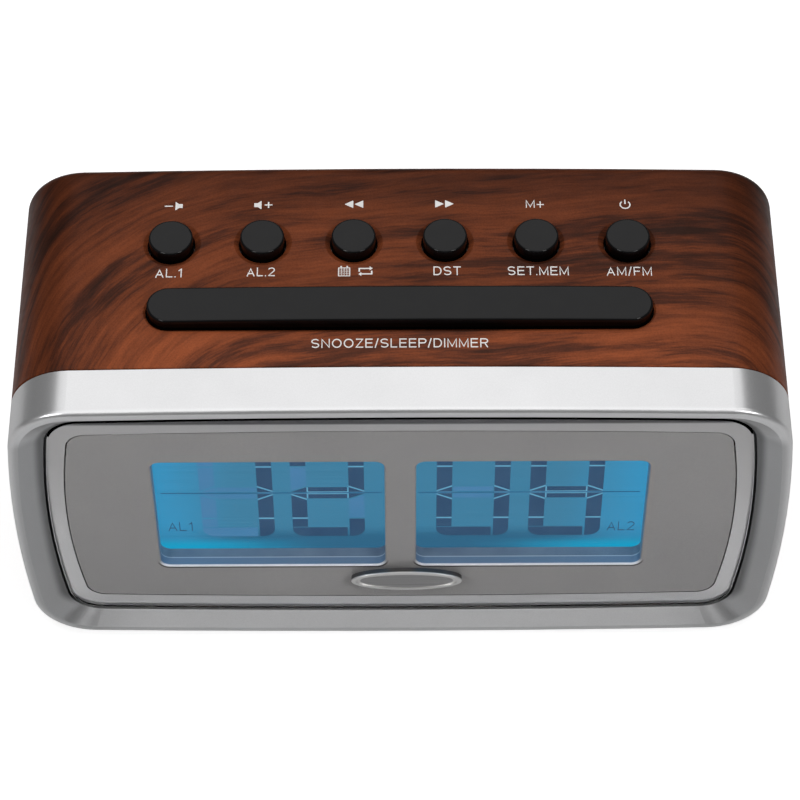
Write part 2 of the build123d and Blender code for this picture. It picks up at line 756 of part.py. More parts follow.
def make_leads():
    """Ribbon between the boards, and the loudspeaker, battery and power leads."""
    board_low = key_board_top - board_thickness
    bend = 6.0
    start = 32.0
    drop = 63.7
    rear, front = from_front(start), from_front(main_board_back)
    path = FilletPolyline((0, rear, board_low), (0, rear, drop), (0, front, drop), radius=bend)
    section = Plane(origin=path @ 0, z_dir=path % 0, x_dir=(1, 0, 0)) * Rectangle(16, 0.5)
    ribbon = Pos(20, 0, 0) * sweep(section, path=path)
    back = main_board_back
    speaker_leads = []
    battery_leads = []
    power_leads = []
    for step in (0, 2.2):
        x, z = speaker_x + 8 + step, middle_z - 25.2
        route = [(x, back, z + 2), (x, back + 12, z + 2), (x + 2, back + 24, z), (x, back + 34, z)]
        speaker_leads.append(wire([*route, (x, flange_lead(), z)], lead_radius))
        x = 34.0 + step
        route = [(28.5, 55 + step, 12), (x, 55 + step, 12), (x + 3, 46, 15), (x + 1, 35, 22)]
        battery_leads.append(wire([*route, (x, 28, 24), (x, back, 24)], lead_radius))
        x = 50.0 + step
        route = [(x, back, 27.7), (x, back + 6, 27.7), (x, 32, 17.7), (x, 36, 16.4), (x, 40, 16.4)]
        power_leads.append(wire(route, lead_radius))
    return {
        "ribbon_cable": ribbon,
        "speaker_leads": Compound(children=speaker_leads),
        "battery_leads": Compound(children=battery_leads),
        "power_leads": Compound(children=power_leads),
    }


def flange_lead():
    """Where the loudspeaker leads end, at the terminals in front of the frame's flange."""
    return speaker_face - speaker_flange - 0.3


def make_parts():
    """All nodes by name."""
    parts = {
        "housing": make_housing(),
        "front_bezel": make_front_bezel(),
        "front_lens": make_front_lens(),
        "display_mask": make_display_mask(),
        "window_frame": make_window_frame(),
        "display_chassis": make_display_chassis(),
        "badge": make_badge(),
        "rear_cover": make_rear_cover(),
        "case_screws": make_case_screws(),
        "small_screws": make_small_screws(),
        "rubber_feet": make_feet(),
        "main_board": make_main_board(),
        "key_board": make_key_board(),
        "switch_bodies": make_switch_bodies(),
        "snooze_bar": make_snooze_bar(),
        "battery_door": make_battery_door(),
    }
    for name, x in zip(button_names, button_x):
        parts[f"button_{name}"] = make_button(x)
    for name, x, distance in switch_places():
        parts[f"plunger_{name}"] = make_plunger(x, distance)
    for group in (
        make_display_parts(),
        make_board_parts(),
        make_speaker(),
        make_power_parts(),
        make_ferrite_aerial(),
        make_battery_parts(),
        make_leads(),
    ):
        parts.update(group)
    return parts


os.makedirs("parts", exist_ok=True)
for node, shape in make_parts().items():
    export_step(shape, f"parts/{node}.step")
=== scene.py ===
import math
import bpy
import bmesh
from mathutils import Matrix, Vector


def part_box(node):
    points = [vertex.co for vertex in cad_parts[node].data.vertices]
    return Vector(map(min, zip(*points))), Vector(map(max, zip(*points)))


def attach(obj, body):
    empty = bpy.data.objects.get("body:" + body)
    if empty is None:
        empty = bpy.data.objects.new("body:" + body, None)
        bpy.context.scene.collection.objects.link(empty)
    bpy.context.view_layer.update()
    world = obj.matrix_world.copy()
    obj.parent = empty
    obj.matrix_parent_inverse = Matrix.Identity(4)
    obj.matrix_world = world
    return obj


# Looks of a tabletop clock radio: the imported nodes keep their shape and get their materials
# here, and the printed legends and the display's segments are added as pieces. Metres, +Z up,
# the front faces -Y. Values times MM are in metres, and materials work in millimetres.

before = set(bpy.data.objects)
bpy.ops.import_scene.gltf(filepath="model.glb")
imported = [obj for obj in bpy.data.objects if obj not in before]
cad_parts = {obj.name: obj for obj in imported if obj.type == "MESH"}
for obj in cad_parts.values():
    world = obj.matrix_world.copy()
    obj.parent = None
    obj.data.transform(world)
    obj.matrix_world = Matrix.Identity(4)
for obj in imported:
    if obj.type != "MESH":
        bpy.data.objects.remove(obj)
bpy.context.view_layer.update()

MM = 0.001
case = "case"

# ---- sizes taken from the frame ----
front_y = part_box("front_bezel")[0][1]
case_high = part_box("housing")[1]
half_width = case_high[0]
top_z = case_high[2]
middle_z = (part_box("window_frame")[0][2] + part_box("window_frame")[1][2]) / 2
display_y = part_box("lcd_front_glass")[0][1]
lens_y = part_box("front_lens")[0][1]
mask_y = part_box("display_mask")[0][1]
bezel_low, bezel_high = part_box("front_bezel")

# ---- the body's outline: the front frame's corners, and how far its sides and top bulge ----
bezel_corner = 14.5
side_crown = 2.8
crown = 1.2 * MM
crown_reach = half_width - side_crown * MM
crown_radius = (crown_reach**2 + crown**2) / (2 * crown)

# ---- the print on the top, and how thick a segment of the display is ----
print_height = 0.03 * MM
print_root = 0.02 * MM
segment_height = 0.04 * MM
cap_height = 2.58 * MM
button_nodes = [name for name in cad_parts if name.startswith("button_")]
button_x = sorted((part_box(name)[0][0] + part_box(name)[1][0]) / 2 for name in button_nodes)
icon_row = front_y + 60.4 * MM
label_row = front_y + 40.2 * MM
snooze_row = front_y + 19.2 * MM

# ---- the camera and the room's light ----
camera_place = (0.0, -0.4454, 0.63896)
camera_pitch = 37.0
camera_roll = -0.24
camera_lens = 138.6
room_light = 0.17


def srgb(red, green, blue):
    """Linear colour from display values of 0 to 255."""
    linear = []
    for value in (red, green, blue):
        part = value / 255
        linear.append(part / 12.92 if part <= 0.04045 else ((part + 0.055) / 1.055) ** 2.4)
    return (*linear, 1.0)


# ---- materials ----
class Shade:
    """One procedural material, with short ways to add its nodes. A value is a socket or a constant."""

    def __init__(self, name):
        self.material = bpy.data.materials.new(name)
        self.material.use_nodes = True
        self.tree = self.material.node_tree
        self.surface = self.tree.nodes["Principled BSDF"]
        self.output = self.tree.nodes["Material Output"]
        place = self.add("TexCoord", out="Object")
        self.place = self.add("VectorMath", {0: place, "Scale": 1 / MM}, operation="SCALE")

    def add(self, kind, values=(), out=0, **settings):
        """One of a new node's outputs. Values are its inputs by name or number."""
        node = self.tree.nodes.new("ShaderNode" + kind)
        for key, value in settings.items():
            setattr(node, key, value)
        for key, value in dict(values).items():
            self.feed(node.inputs[key], value)
        return node.outputs[out]

    def feed(self, socket, value):
        if isinstance(value, bpy.types.NodeSocket):
            self.tree.links.new(value, socket)
        else:
            socket.default_value = value

    def set(self, **values):
        """Sets the surface's inputs, with _ for a space in their names."""
        for key, value in values.items():
            self.feed(self.surface.inputs[key.replace("_", " ")], value)

    def math(self, operation, a, b=0.0, c=0.0):
        return self.add("Math", {0: a, 1: b, 2: c}, operation=operation)

    def axes(self):
        """X, Y and Z of the shaded place, in millimetres."""
        return [self.add("SeparateXYZ", {0: self.place}, out=axis) for axis in "XYZ"]

    def over(self, value, limit):
        """How far a value is above a limit, or 0."""
        return self.math("MAXIMUM", self.math("SUBTRACT", value, limit), 0.0)

    def length(self, a, b):
        """Length of a flat vector."""
        squares = self.math("ADD", self.math("MULTIPLY", a, a), self.math("MULTIPLY", b, b))
        return self.math("SQRT", squares)

    def smooth(self, value, low, high, to_low=0.0, to_high=1.0):
        values = {"Value": value, "From Min": low, "From Max": high, "To Min": to_low, "To Max": to_high}
        return self.add("MapRange", values, interpolation_type="SMOOTHSTEP")

    def noise(self, size, detail=2.0, roughness=0.5, vector=None, w=None):
        """Noise whose features are about size millimetres."""
        vector = self.place if vector is None else vector
        values = {"Vector": vector, "Scale": 1 / size, "Detail": detail, "Roughness": roughness}
        if w is None:
            return self.add("TexNoise", values)
        values["W"] = w
        return self.add("TexNoise", values, noise_dimensions="4D")

    def stretched(self, x, y, z):
        """The place with its axes scaled, which stretches a noise along the axis scaled least."""
        return self.add("VectorMath", {0: self.place, 1: (x, y, z)}, operation="MULTIPLY")

    def ramp(self, value, *stops):
        """Colour from a value, between stops of a position and a colour."""
        output = self.add("ValToRGB", {"Fac": value}, out="Color")
        elements = output.node.color_ramp.elements
        while len(elements) < len(stops):
            elements.new(0.5)
        for element, (position, colour) in zip(elements, stops):
            element.position = position
            element.color = colour
        return output

    def mix(self, factor, a, b, blend="MIX"):
        values = {0: factor, 6: a, 7: b}
        return self.add("Mix", values, out=2, data_type="RGBA", blend_type=blend)

    def bump(self, height, strength, distance):
        """Relief whose depth is distance millimetres."""
        values = {"Height": height, "Strength": strength, "Distance": distance * MM}
        self.set(Normal=self.add("Bump", values))


def moulded(name, dark, light, grain=0.25, bump=0.15, rough=(0.45, 0.6), blotch=9.0, **fixed):
    """Plain material: two tones in soft blotches, a fine surface grain and uneven gloss."""
    shade = Shade(name)
    tone = shade.noise(blotch, 4.0, 0.6)
    shade.set(Base_Color=shade.ramp(tone, (0.35, dark), (0.65, light)), **fixed)
    wear = shade.noise(blotch * 0.4, 3.0, 0.6)
    shade.set(Roughness=shade.smooth(wear, 0.3, 0.7, *rough))
    shade.bump(shade.noise(grain, 3.0, 0.6), bump, grain * 0.5)
    return shade.material


def metal(grain, rough, metallic=1.0):
    """Options of a moulded finish that make it a metal."""
    return dict(grain=grain, rough=rough, Metallic=metallic)


def even(grain, rough):
    """Options of a moulded finish with hardly any relief."""
    return dict(grain=grain, bump=0.05, rough=rough)


def walnut():
    """Printed walnut film: streaks that follow one field of curves all round the sleeve."""
    shade = Shade("walnut_film")
    x, y, z = shade.axes()

    # the field: level runs from the front to the back, and bends round at both ends of the top
    drop = shade.math("MAXIMUM", shade.math("SUBTRACT", top_z / MM, z), 0.0)
    around = shade.math("ADD", shade.math("ABSOLUTE", x), drop)
    leftward = shade.smooth(x, 15.0, -15.0)
    rightward = shade.smooth(x, -15.0, 15.0)
    left_bend = shade.math("MULTIPLY", shade.over(around, 29.0), leftward)
    right_bend = shade.math("MULTIPLY", shade.over(around, 66.0), rightward)
    bend = shade.math("ADD", left_bend, right_bend)
    back = shade.math("ADD", y, 4.0 - front_y / MM)
    level = shade.length(bend, back)
    level = shade.math("MULTIPLY_ADD", x, -0.10, level)
    level = shade.math("MULTIPLY_ADD", shade.noise(34.0, 1.0), 4.5, level)
    level = shade.math("MULTIPLY_ADD", shade.noise(11.0, 2.0), 1.6, level)

    # the figure: noise drawn out along the field's curves, in broad bands, grain and fine fibres
    def streaks(length, width, detail, roughness=0.55):
        return shade.noise(length, detail, roughness, w=shade.math("MULTIPLY", level, 1.0 / width * length))

    bands = streaks(60.0, 9.0, 2.0)
    grain = streaks(22.0, 2.4, 6.0, 0.62)
    fibres = streaks(7.0, 0.5, 3.0)
    tone = shade.math("MULTIPLY_ADD", grain, 0.55, shade.math("MULTIPLY", bands, 0.45))
    tone = shade.math("MULTIPLY_ADD", fibres, 0.20, shade.math("SUBTRACT", tone, 0.10))
    colour = shade.ramp(
        tone,
        (0.36, srgb(51, 28, 19)),
        (0.44, srgb(75, 38, 24)),
        (0.50, srgb(102, 51, 29)),
        (0.62, srgb(126, 64, 36)),
    )

    # painted light and shade over the film's tone: lighter toward the front, darker toward the back and down
    # the sides
    front_tone_and_light = shade.smooth(back, 16.0, 44.0, shade.smooth(x, -78.0, -40.0, 1.3, 1.62), 1.0)
    rear_tone_and_shade = shade.smooth(x, -60.0, 10.0, 0.58, 0.47)
    edge_tone_and_shade = shade.math("MULTIPLY", shade.smooth(back, 50.0, 76.0, 1.0, rear_tone_and_shade), front_tone_and_light)
    edge_tone_and_shade = shade.math("MULTIPLY", edge_tone_and_shade, shade.smooth(around, 60.0, 86.0, 1.0, 0.6))
    # the film is finely dotted
    dots = shade.add("TexVoronoi", {"Vector": shade.place, "Scale": 1 / 0.42}, out="Distance")
    dots = shade.smooth(dots, 0.2, 0.7, 0.91, 1.07)
    shade_of = shade.math("MULTIPLY", edge_tone_and_shade, dots)
    grey = shade.add("CombineColor", {0: shade_of, 1: shade_of, 2: shade_of})
    shade.set(Base_Color=shade.mix(1.0, colour, grey, "MULTIPLY"), Specular_IOR_Level=0.08)
    shade.set(Roughness=shade.smooth(shade.noise(3.0, 3.0), 0.3, 0.7, 0.34, 0.44))
    shade.bump(grain, 0.05, 0.05)
    return shade.material


def rim_inset(shade, wide, z):
    """How far a place lies inside the bezel's crowned, round-cornered outline, in millimetres."""
    low, high = bezel_low[2] / MM, bezel_high[2] / MM
    half_wide, half_tall = half_width / MM, (high - low) / 2
    tall = shade.math("ABSOLUTE", shade.math("SUBTRACT", z, (low + high) / 2))
    sideways = shade.math("MULTIPLY_ADD", shade.math("MULTIPLY", tall, tall), side_crown / half_tall**2, wide)
    upward = shade.math("MULTIPLY_ADD", shade.math("MULTIPLY", wide, wide), crown / MM / half_wide**2, tall)
    beyond_x = shade.over(sideways, half_wide - bezel_corner)
    beyond_z = shade.over(upward, half_tall - bezel_corner)
    return shade.math("SUBTRACT", bezel_corner, shade.length(beyond_x, beyond_z))


def silver_paint():
    """Satin silver paint: fine metal flakes over a faint orange peel, with painted shade round the lens."""
    shade = Shade("silver_paint")
    flakes = shade.add("TexVoronoi", {"Vector": shade.place, "Scale": 1 / 0.16}, out="Color")
    flake = shade.add("SeparateColor", {0: flakes})
    tone = shade.math("MULTIPLY_ADD", shade.noise(14.0, 3.0), 0.12, shade.math("MULTIPLY", flake, 0.07))
    base = shade.ramp(tone, (0.02, srgb(209, 209, 210)), (0.2, srgb(225, 225, 226)))
    shade.set(Metallic=0.9, Roughness=shade.smooth(flake, 0.0, 1.0, 0.28, 0.33))
    x, y, z = shade.axes()
    height = shade.math("SUBTRACT", z, middle_z / MM)
    wide = shade.math("ABSOLUTE", x)
    inset = rim_inset(shade, wide, z)
    inner = shade.math("GREATER_THAN", inset, 3.5)
    fore = shade.math("LESS_THAN", y, lens_y / MM + 0.1)

    # painted shade: the gap round the lens is dark, apart from the ledge that the lens lies on and along the
    # bottom
    ledge = shade.math("MULTIPLY", shade.math("COMPARE", y, mask_y / MM, 0.04), inner)
    deep = shade.math("GREATER_THAN", y, lens_y / MM + 0.15)
    gap_shade = shade.math("MULTIPLY", inner, shade.math("SUBTRACT", deep, ledge))
    gap_shade = shade.math("MULTIPLY", gap_shade, shade.smooth(height, -37.0, -33.0))
    base = shade.mix(gap_shade, base, srgb(48, 48, 50))

    # painted shade: the lip that slopes in to the lens is darker toward the ends, most of all beside the gap
    lower = shade.smooth(height, 36.5, 32.0)
    lip = shade.math("MULTIPLY", shade.math("MULTIPLY", fore, lower), shade.smooth(inset, 0.2, 2.2))
    lip_shade_depth = shade.smooth(wide, 60.0, 84.0, 0.05, 0.36)
    base = shade.mix(shade.math("MULTIPLY", lip, lip_shade_depth), base, srgb(60, 60, 62))
    at_sides = shade.smooth(wide, 70.0, 80.0, 0.0, 0.6)
    shade_beside_gap = shade.math("MULTIPLY", shade.smooth(inset, 5.2, 7.2), at_sides)
    base = shade.mix(shade.math("MULTIPLY", shade_beside_gap, fore), base, srgb(24, 24, 26))

    # painted light and shade: the ledge is brighter below, and its upper run has a painted shadow of the
    # frame
    ledge_shaded_tone = shade.mix(shade.smooth(height, -36.0, 34.0), srgb(246, 246, 248), srgb(208, 207, 208))
    base = shade.mix(ledge, base, ledge_shaded_tone)
    overhang_shadow = shade.math("MULTIPLY", shade.smooth(height, 35.3, 36.1), shade.smooth(wide, 80.0, 72.0))
    overhang_shadow = shade.math("MULTIPLY", overhang_shadow, shade.math("MULTIPLY", ledge, 0.85))
    base = shade.mix(overhang_shadow, base, srgb(66, 66, 70))

    shade.set(Base_Color=base)
    peel = shade.math("MULTIPLY_ADD", shade.noise(0.9, 2.0), 1.0, shade.math("MULTIPLY", flake, 0.2))
    shade.bump(peel, 0.05, 0.03)
    return shade.material


def clear_acrylic():
    """Clear coated lens: bends what is behind it, hardly mirrors, and lets the lamps straight through."""
    shade = Shade("clear_acrylic")
    tone = shade.noise(20.0, 3.0)
    tint = shade.ramp(tone, (0.3, (0.972, 0.97, 0.968, 1.0)), (0.7, (0.982, 0.98, 0.978, 1.0)))
    shade.set(Base_Color=tint, Transmission_Weight=1.0, IOR=1.45, Roughness=0.0)
    bent = shade.add("BsdfRefraction", {"Color": tint, "IOR": 1.45, "Roughness": 0.0})
    coated = shade.add("MixShader", {0: 0.1, 1: bent, 2: shade.surface.outputs[0]})
    clear = shade.add("BsdfTransparent", {"Color": (0.95, 0.96, 0.965, 1.0)})
    shadow = shade.add("LightPath", out="Is Shadow Ray")
    both = shade.add("MixShader", {0: shadow, 1: coated, 2: clear})
    shade.feed(shade.output.inputs["Surface"], both)
    return shade.material


def window_distance(shade, x, height):
    """How far a place on the mask lies outside the nearer window, in millimetres."""
    across = shade.math("ABSOLUTE", shade.math("SUBTRACT", shade.math("ABSOLUTE", x), window_centre_x))
    beyond_x = shade.over(across, window_half_width - window_corner)
    beyond_z = shade.over(shade.math("ABSOLUTE", height), window_half_height - window_corner)
    return shade.math("SUBTRACT", shade.length(beyond_x, beyond_z), window_corner)


def mask_grey():
    """Grey print on the display mask: fine metallic grain, painted light on the lower window edges, blue-grey
    walls.
    """
    shade = Shade("mask_grey")
    flakes = shade.add("TexVoronoi", {"Vector": shade.place, "Scale": 1 / 0.2}, out="Color")
    flake = shade.add("SeparateColor", {0: flakes})
    x, y, z = shade.axes()
    height = shade.math("SUBTRACT", z, middle_z / MM)
    lift = shade.smooth(height, -35.0, 30.0, 0.0, 0.10)
    tone = shade.math("MULTIPLY_ADD", flake, 0.25, lift)
    tone = shade.math("MULTIPLY_ADD", shade.noise(22.0, 3.0), 0.2, tone)
    base = shade.ramp(tone, (0.1, srgb(160, 158, 158)), (0.5, srgb(177, 175, 174)))

    # the windows' lower edges: a painted highlight on the bevel, and a thin painted shadow line below it
    apart = window_distance(shade, x, height)
    low = shade.smooth(height, -18.5, -21.0)
    rim = shade.math("MULTIPLY", shade.smooth(apart, 0.38, 0.22), low)
    line = shade.math("ABSOLUTE", shade.math("SUBTRACT", apart, 0.62))
    line = shade.math("MULTIPLY", shade.smooth(line, 0.3, 0.12), low)
    base = shade.mix(line, base, srgb(64, 62, 64))
    base = shade.mix(rim, base, srgb(236, 236, 240))

    # the walls of the windows are blue-grey, and pale from about 2.3 mm in
    depth = shade.math("SUBTRACT", y, mask_y / MM)
    deeper = shade.math("MULTIPLY", depth, 0.3)
    wall_tone = shade.ramp(deeper, (0.68, srgb(112, 138, 166)), (0.74, srgb(190, 206, 220)))
    shade.set(Base_Color=shade.mix(shade.smooth(depth, 0.4, 0.55), base, wall_tone))
    shade.set(Metallic=0.25, Roughness=shade.smooth(flake, 0.0, 1.0, 0.42, 0.52))
    shade.bump(flake, 0.05, 0.02)
    return shade.material


def display_glow():
    """Back-lit liquid crystal: blue, brighter toward the outer ends and low in the corners."""
    shade = Shade("display_glass")
    x, _, z = shade.axes()
    height = shade.math("SUBTRACT", z, middle_z / MM)
    far = shade.math("ABSOLUTE", x)
    sway = shade.math("MULTIPLY_ADD", shade.noise(12.0, 3.0), 8.0, far)
    side = shade.smooth(sway, 40.0, 62.0)
    low = shade.smooth(height, -16.0, -20.5)
    corner = shade.math("MULTIPLY", shade.smooth(sway, 18.0, 58.0), low)
    base = shade.mix(shade.math("MULTIPLY", side, 0.75), srgb(60, 126, 160), srgb(50, 150, 198))
    inward = shade.smooth(sway, 58.0, 38.0, 0.2, 0.75)
    dark = shade.math("MULTIPLY", shade.smooth(height, -11.0, -17.0), inward)
    base = shade.mix(dark, base, srgb(36, 90, 124))
    base = shade.mix(corner, base, srgb(14, 158, 200))
    lines = shade.noise(1.0, 2.0, vector=shade.stretched(0.02, 1.0, 1.4))
    level = shade.smooth(lines, 0.3, 0.7, 0.94, 1.05)
    shade.set(Base_Color=srgb(6, 12, 18), Roughness=0.4, Specular_IOR_Level=0.1)
    shade.set(Emission_Color=base, Emission_Strength=level)
    return shade.material


def display_ink(name, colour, opacity_tone):
    """A segment of the liquid crystal: the glow seen through it is uneven and dim."""
    shade = Shade(name)
    tone = shade.noise(6.0, 3.0)
    shade.set(Base_Color=srgb(4, 8, 12), Roughness=0.4, Specular_IOR_Level=0.1)
    shade.set(Emission_Color=shade.ramp(tone, (0.3, colour), (0.7, opacity_tone)), Emission_Strength=1.0)
    return shade.material


def badge_metal():
    """Satin aluminium, brushed along its length."""
    shade = Shade("badge_metal")
    lines = shade.noise(1.0, 4.0, 0.7, vector=shade.stretched(0.05, 3.0, 6.0))
    field = shade.ramp(lines, (0.3, srgb(142, 141, 141)), (0.7, srgb(166, 165, 165)))
    low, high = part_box("badge")
    x, y, z = shade.axes()
    reach = []
    for axis, along, rim_width in ((0, x, 2.0), (2, z, 0.9)):
        centre, half = (low[axis] + high[axis]) / 2 / MM, (high[axis] - low[axis]) / 2 / MM
        reach.append(shade.math("DIVIDE", shade.math("SUBTRACT", along, centre), half - rim_width))
    rim = shade.smooth(shade.length(*reach), 0.97, 1.01)
    # painted shade: the badge's side wall, behind its front, is painted darker
    wall_shade = shade.smooth(shade.math("SUBTRACT", y, low[1] / MM), 0.32, 0.5)
    base = shade.mix(rim, field, srgb(216, 215, 214))
    shade.set(Base_Color=shade.mix(wall_shade, base, srgb(104, 103, 103)))
    shade.set(Metallic=0.8, Roughness=shade.smooth(lines, 0.2, 0.8, 0.28, 0.42))
    shade.bump(lines, 0.08, 0.02)
    return shade.material


def button_black():
    """Satin black caps: almost smooth, with a breath of grain and finger marks in the gloss."""
    shade = Shade("button_black")
    tone = shade.noise(5.0, 3.0)
    z = shade.axes()[2]
    rim_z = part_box("button_power")[1][2] / MM - 0.7
    face = shade.ramp(tone, (0.3, srgb(11, 11, 12)), (0.7, srgb(15, 15, 16)))
    # painted shade: the caps' sides, below the rim of the top, are painted near black
    shade.set(Base_Color=shade.mix(shade.smooth(z, rim_z - 0.6, rim_z), srgb(3, 3, 3), face))
    shade.set(Roughness=shade.smooth(shade.noise(2.2, 4.0), 0.3, 0.7, 0.09, 0.13), Specular_IOR_Level=0.2)
    shade.bump(shade.noise(0.12, 2.0), 0.05, 0.02)
    return shade.material


def circuit_board():
    """Solder mask with faint straight tracks under it and bare pads."""
    shade = Shade("board_green")
    tracks = shade.add("TexBrick", {"Vector": shade.place, "Scale": 0.35}, out="Fac")
    base = shade.mix(tracks, srgb(22, 92, 52), srgb(44, 122, 70))
    shade.set(Base_Color=base, Roughness=shade.smooth(shade.noise(1.5), 0.3, 0.7, 0.3, 0.42))
    shade.bump(tracks, 0.1, 0.05)
    return shade.material


def wound_copper():
    """Enamelled wire wound side by side along X."""
    shade = Shade("coil_copper")
    x = shade.axes()[0]
    turns = shade.math("ABSOLUTE", shade.math("SINE", shade.math("MULTIPLY", x, math.pi / 0.35)))
    # painted shade darkens the wire between its turns
    base = shade.ramp(turns, (0.0, srgb(96, 44, 22)), (0.6, srgb(196, 104, 58)))
    shade.set(Base_Color=base, Metallic=0.8, Roughness=shade.smooth(turns, 0.0, 1.0, 0.5, 0.3))
    shade.bump(turns, 0.6, 0.1)
    return shade.material


def lamp_glow():
    shade = Shade("lamp_blue")
    tone = shade.noise(0.8, 2.0)
    shade.set(Base_Color=shade.ramp(tone, (0.3, srgb(120, 190, 235)), (0.7, srgb(160, 215, 245))))
    shade.set(Roughness=0.3, Emission_Color=srgb(60, 150, 230), Emission_Strength=0.6)
    return shade.material


def finishes():
    """Every finish of the record by its slot name."""
    black, pale = srgb(26, 26, 27), srgb(222, 222, 218)
    made = {
        "walnut_film": walnut(),
        "silver_paint": silver_paint(),
        "clear_acrylic": clear_acrylic(),
        "mask_grey": mask_grey(),
        "badge_metal": badge_metal(),
        "button_black": button_black(),
        "display_glass": display_glow(),
        "board_green": circuit_board(),
        "coil_copper": wound_copper(),
        "lamp_blue": lamp_glow(),
    }
    plain = {
        "frame_grey": (srgb(102, 120, 142), srgb(116, 134, 154), even(0.2, (0.3, 0.42))),
        "white_plastic": (pale, srgb(236, 236, 233), dict(grain=0.4, bump=0.1)),
        "black_plastic": (black, srgb(34, 34, 35), dict(grain=0.28, bump=0.5, rough=(0.5, 0.62))),
        "zinc_screw": (srgb(150, 150, 152), srgb(182, 182, 184), metal(0.3, (0.3, 0.45))),
        "foot_rubber": (srgb(24, 24, 24), srgb(36, 36, 35), dict(grain=0.4, bump=0.3, rough=(0.8, 0.92))),
        "board_white": (pale, srgb(234, 234, 228), dict(grain=0.3, rough=(0.35, 0.45))),
        "switch_black": (black, srgb(36, 36, 36), dict(grain=0.2)),
        "white_film": (srgb(228, 230, 232), srgb(244, 245, 246), even(0.1, (0.5, 0.6))),
        "guide_acrylic": (srgb(206, 220, 232), srgb(228, 236, 244), dict(grain=0.6, rough=(0.1, 0.2))),
        "contact_rubber": (srgb(190, 120, 130), srgb(214, 150, 156), dict(grain=0.3, rough=(0.7, 0.8))),
        "chip_black": (srgb(28, 28, 29), srgb(40, 40, 41), dict(grain=0.15, bump=0.3, rough=(0.55, 0.7))),
        "can_aluminium": (srgb(30, 34, 66), srgb(42, 48, 86), dict(grain=0.5, rough=(0.3, 0.4))),
        "speaker_steel": (srgb(120, 121, 123), srgb(150, 151, 153), metal(0.3, (0.3, 0.45), 0.9)),
        "speaker_ferrite": (srgb(44, 44, 46), srgb(62, 62, 64), dict(grain=0.3, bump=0.4, rough=(0.6, 0.75))),
        "speaker_paper": (srgb(34, 33, 32), srgb(54, 53, 51), dict(grain=0.5, bump=0.7, rough=(0.85, 0.95))),
        "gasket_foam": (srgb(36, 36, 36), srgb(54, 54, 54), dict(grain=0.4, bump=0.8, rough=(0.9, 0.98))),
        "jack_black": (black, srgb(32, 32, 33), dict(grain=0.2, rough=(0.35, 0.5))),
        "contact_brass": (srgb(190, 164, 104), srgb(214, 190, 132), metal(0.3, (0.25, 0.4))),
        "contact_steel": (srgb(176, 177, 180), srgb(204, 205, 208), metal(0.3, (0.22, 0.36))),
        "grommet_rubber": (srgb(22, 22, 22), srgb(34, 34, 34), dict(grain=0.3, bump=0.3, rough=(0.7, 0.85))),
        "cell_jacket": (srgb(74, 82, 92), srgb(96, 104, 114), metal(0.5, (0.25, 0.35), 0.5)),
        "lead_grey": (srgb(150, 150, 150), srgb(176, 176, 176), dict(grain=0.5)),
        "lead_red": (srgb(150, 26, 22), srgb(180, 38, 32), dict(grain=0.4)),
        "lead_black": (srgb(26, 26, 26), srgb(38, 38, 38), dict(grain=0.4)),
    }
    for name, (dark, light, options) in plain.items():
        made[name] = moulded(name, dark, light, **options)
    return made


def dress_nodes(made):
    """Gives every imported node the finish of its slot."""
    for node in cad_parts.values():
        for slot in node.material_slots:
            slot.material = made[slot.material.name]


# ---- flat shapes: print on the crowned top, and the display's segments ----
def flat_mesh(name, loops, height):
    """Mesh of filled outlines in X and Y, thickened from 0 to height. Loops inside a loop are holes."""
    curve = bpy.data.curves.new(name, "CURVE")
    curve.dimensions = "2D"
    curve.fill_mode = "BOTH"
    curve.extrude = height / 2
    for points in loops:
        spline = curve.splines.new("POLY")
        spline.points.add(len(points) - 1)
        for point, (x, y) in zip(spline.points, points):
            point.co = (x, y, 0, 1)
        spline.use_cyclic_u = True
    return meshed(name, curve, height)


def ellipse(centre, radii, start, end, steps=14):
    """Points on an ellipse's arc, angles in degrees."""
    points = []
    for step in range(steps + 1):
        angle = math.radians(start + (end - start) * step / steps)
        points.append((centre[0] + radii[0] * math.cos(angle), centre[1] + radii[1] * math.sin(angle)))
    return points


